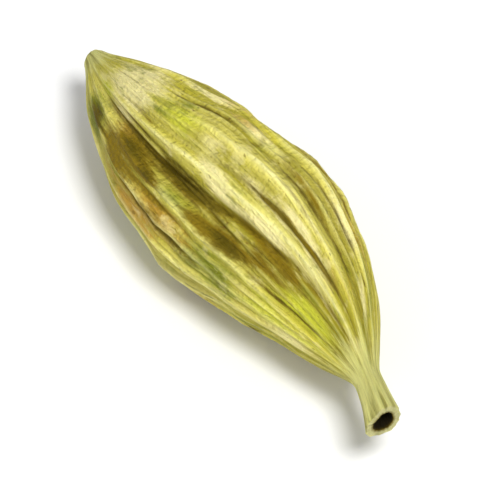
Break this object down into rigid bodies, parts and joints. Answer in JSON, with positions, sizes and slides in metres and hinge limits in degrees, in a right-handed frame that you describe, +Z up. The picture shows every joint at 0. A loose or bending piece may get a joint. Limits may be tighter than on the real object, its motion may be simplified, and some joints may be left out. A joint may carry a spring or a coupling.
{
  "type": "green cardamom pod",
  "caption": "Dried green cardamom pod: a slim lobed seed capsule with lengthwise ribs and a forked furrow, blunt at one end and with a cut stub of stalk at the other. Whole spice.",
  "frame": {"origin": "under the middle of the pod's box, on the surface that the pod lies on", "axes": "+X along the pod from its beak to the cut end of its stalk, +Z up"},
  "size_m": [0.018, 0.0058, 0.0055],
  "materials": {
    "husk": "matte papery dried husk"
  },
  "bodies": {
    "root": {"pod": "husk"}
  },
  "joints": []
}
